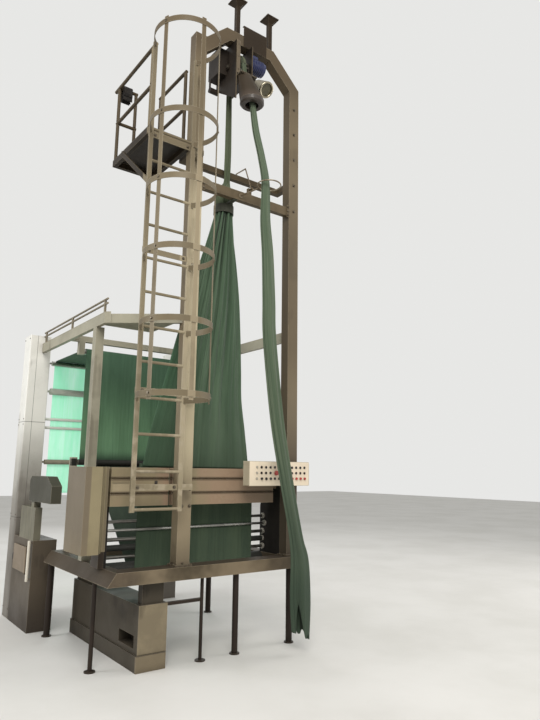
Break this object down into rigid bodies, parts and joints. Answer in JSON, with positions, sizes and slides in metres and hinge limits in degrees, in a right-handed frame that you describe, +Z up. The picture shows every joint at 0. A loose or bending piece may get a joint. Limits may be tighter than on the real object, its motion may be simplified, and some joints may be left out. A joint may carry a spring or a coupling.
{
  "type": "tubular fabric slitting machine",
  "caption": "Tubular fabric slitting machine: a portal tower with reel head and caged ladder opens rope cloth over a slitting window, with web rollers behind.",
  "frame": {"origin": "centre of the bounding box's base, on the floor", "axes": "+X across the machine to the operator's right, +Y back along the line of the web, +Z up"},
  "size_m": [2.208, 3.29, 6.5],
  "materials": {
    "frame_steel": "worn grey-beige paint",
    "tower_steel": "satin cream paint, dulled",
    "cream_steel": "satin cream paint, stained",
    "dark_steel": "dark, oily",
    "rail_steel": "dull brown paint",
    "chequer_plate": "dark, matt",
    "strap_cloth": "matt",
    "roller_steel": "polished by the cloth",
    "silver_housing": "cast, satin",
    "motor_blue": "gloss blue",
    "dark_plastic": "matt",
    "lamp_glass": "unlit",
    "green_fabric": "knitted, matt",
    "dark_rubber": "matt",
    "bearing_white": "moulded",
    "panel_paint": "cream paint",
    "lamp_caps": "moulded",
    "button_black": "moulded",
    "button_red": "moulded"
  },
  "bodies": {
    "machine": {"base_frame": "frame_steel", "floor_box": "cream_steel", "support_legs": "frame_steel", "foot_plates": "frame_steel", "tower_portal": "tower_steel", "crown_plate": "dark_steel", "ceiling_stays": "dark_steel", "front_crossbeam": "tower_steel", "rear_crossbeam": "dark_steel", "ring_guide": "dark_steel", "ladder": "tower_steel", "ladder_cage": "tower_steel", "platform_floor": "chequer_plate", "platform_frame": "tower_steel", "platform_rails": "rail_steel", "hung_strap": "strap_cloth", "reel_cheeks": "dark_steel", "gear_housing": "silver_housing", "reel_motor": "motor_blue", "rope_funnel": "cream_steel", "work_lamp": "silver_housing", "lamp_glass": "lamp_glass", "infeed_rope": "green_fabric", "drop_rope": "green_fabric", "spread_cone": "green_fabric", "cone_ring": "dark_rubber", "front_web": "green_fabric", "rear_web": "green_fabric", "side_plates": "dark_steel", "bearing_flanges": "bearing_white", "rear_frame": "frame_steel", "end_columns": "frame_steel", "left_cover": "cream_steel", "tray_covers": "cream_steel", "control_panel": "panel_paint", "signal_lamps": "lamp_caps", "side_cabinet": "frame_steel", "drive_guard": "dark_steel"},
    "drive_reel": {"drive_reel": "roller_steel"},
    "turning_eye": {"turning_eye": "dark_plastic"},
    "knot_lever": {"knot_lever": "dark_steel"},
    "window_roller_1": {"window_roller_1": "roller_steel"},
    "window_roller_2": {"window_roller_2": "roller_steel"},
    "window_roller_3": {"window_roller_3": "roller_steel"},
    "window_roller_4": {"window_roller_4": "dark_rubber"},
    "window_roller_5": {"window_roller_5": "roller_steel"},
    "turn_roller": {"turn_roller": "dark_rubber"},
    "top_roller": {"top_roller": "roller_steel"},
    "far_roller_top": {"far_roller_top": "roller_steel"},
    "far_roller_middle": {"far_roller_middle": "dark_rubber"},
    "far_roller_low": {"far_roller_low": "dark_rubber"},
    "cabinet_door": {"cabinet_door": "cream_steel"},
    "black_button_1": {"black_button_1": "button_black"},
    "black_button_2": {"black_button_2": "button_black"},
    "black_button_3": {"black_button_3": "button_black"},
    "red_button_1": {"red_button_1": "button_red"},
    "red_button_2": {"red_button_2": "button_red"},
    "red_button_3": {"red_button_3": "button_red"},
    "red_button_4": {"red_button_4": "button_red"},
    "stop_button": {"stop_button": "button_red"}
  },
  "joints": [
    {"name": "reel_turn", "type": "hinge", "parent": "machine", "child": "drive_reel", "pos_m": [0.282, -0.905, 5.72], "axis": [1, 0, 0], "continuous": true},
    {"name": "eye_turn", "type": "hinge", "parent": "machine", "child": "turning_eye", "pos_m": [0.319, -1.145, 5.262], "axis": [0, 0, 1], "continuous": true},
    {"name": "knot_lever_swing", "type": "hinge", "parent": "machine", "child": "knot_lever", "pos_m": [0.422, -1.012, 4.385], "axis": [0, 1, 0], "range_deg": [-20, 20]},
    {"name": "window_roller_1_turn", "type": "hinge", "parent": "machine", "child": "window_roller_1", "pos_m": [0.082, -0.6388, 1.07], "axis": [1, 0, 0], "continuous": true},
    {"name": "window_roller_2_turn", "type": "hinge", "parent": "machine", "child": "window_roller_2", "pos_m": [0.082, -0.6092, 1.14], "axis": [1, 0, 0], "continuous": true},
    {"name": "window_roller_3_turn", "type": "hinge", "parent": "machine", "child": "window_roller_3", "pos_m": [0.082, -0.6072, 0.99], "axis": [1, 0, 0], "continuous": true},
    {"name": "window_roller_4_turn", "type": "hinge", "parent": "machine", "child": "window_roller_4", "pos_m": [0.082, -0.5972, 0.92], "axis": [1, 0, 0], "continuous": true},
    {"name": "window_roller_5_turn", "type": "hinge", "parent": "machine", "child": "window_roller_5", "pos_m": [0.082, -0.6072, 0.845], "axis": [1, 0, 0], "continuous": true},
    {"name": "turn_roller_turn", "type": "hinge", "parent": "machine", "child": "turn_roller", "pos_m": [0.082, -0.5632, 0.735], "axis": [1, 0, 0], "continuous": true},
    {"name": "top_roller_turn", "type": "hinge", "parent": "machine", "child": "top_roller", "pos_m": [0.082, 0.5368, 2.812], "axis": [1, 0, 0], "continuous": true},
    {"name": "far_roller_top_turn", "type": "hinge", "parent": "machine", "child": "far_roller_top", "pos_m": [0.082, 1.5332, 2.812], "axis": [1, 0, 0], "continuous": true},
    {"name": "far_roller_middle_turn", "type": "hinge", "parent": "machine", "child": "far_roller_middle", "pos_m": [0.082, 1.5252, 2.475], "axis": [1, 0, 0], "continuous": true},
    {"name": "far_roller_low_turn", "type": "hinge", "parent": "machine", "child": "far_roller_low", "pos_m": [0.082, 1.5352, 1.655], "axis": [1, 0, 0], "continuous": true},
    {"name": "cabinet_door_swing", "type": "hinge", "parent": "machine", "child": "cabinet_door", "pos_m": [-0.963, 0.885, 0.665], "axis": [0, 0, 1], "range_deg": [0, 110]},
    {"name": "black_button_1_press", "type": "slide", "parent": "machine", "child": "black_button_1", "axis": [0, 1, 0], "range_m": [0, 0.004], "stiffness_N_per_m": 300},
    {"name": "black_button_2_press", "type": "slide", "parent": "machine", "child": "black_button_2", "axis": [0, 1, 0], "range_m": [0, 0.004], "stiffness_N_per_m": 300},
    {"name": "black_button_3_press", "type": "slide", "parent": "machine", "child": "black_button_3", "axis": [0, 1, 0], "range_m": [0, 0.004], "stiffness_N_per_m": 300},
    {"name": "red_button_1_press", "type": "slide", "parent": "machine", "child": "red_button_1", "axis": [0, 1, 0], "range_m": [0, 0.004], "stiffness_N_per_m": 300},
    {"name": "red_button_2_press", "type": "slide", "parent": "machine", "child": "red_button_2", "axis": [0, 1, 0], "range_m": [0, 0.004], "stiffness_N_per_m": 300},
    {"name": "red_button_3_press", "type": "slide", "parent": "machine", "child": "red_button_3", "axis": [0, 1, 0], "range_m": [0, 0.004], "stiffness_N_per_m": 300},
    {"name": "red_button_4_press", "type": "slide", "parent": "machine", "child": "red_button_4", "axis": [0, 1, 0], "range_m": [0, 0.004], "stiffness_N_per_m": 300},
    {"name": "stop_button_press", "type": "slide", "parent": "machine", "child": "stop_button", "axis": [0, 1, 0], "range_m": [0, 0.004], "stiffness_N_per_m": 300}
  ]
}
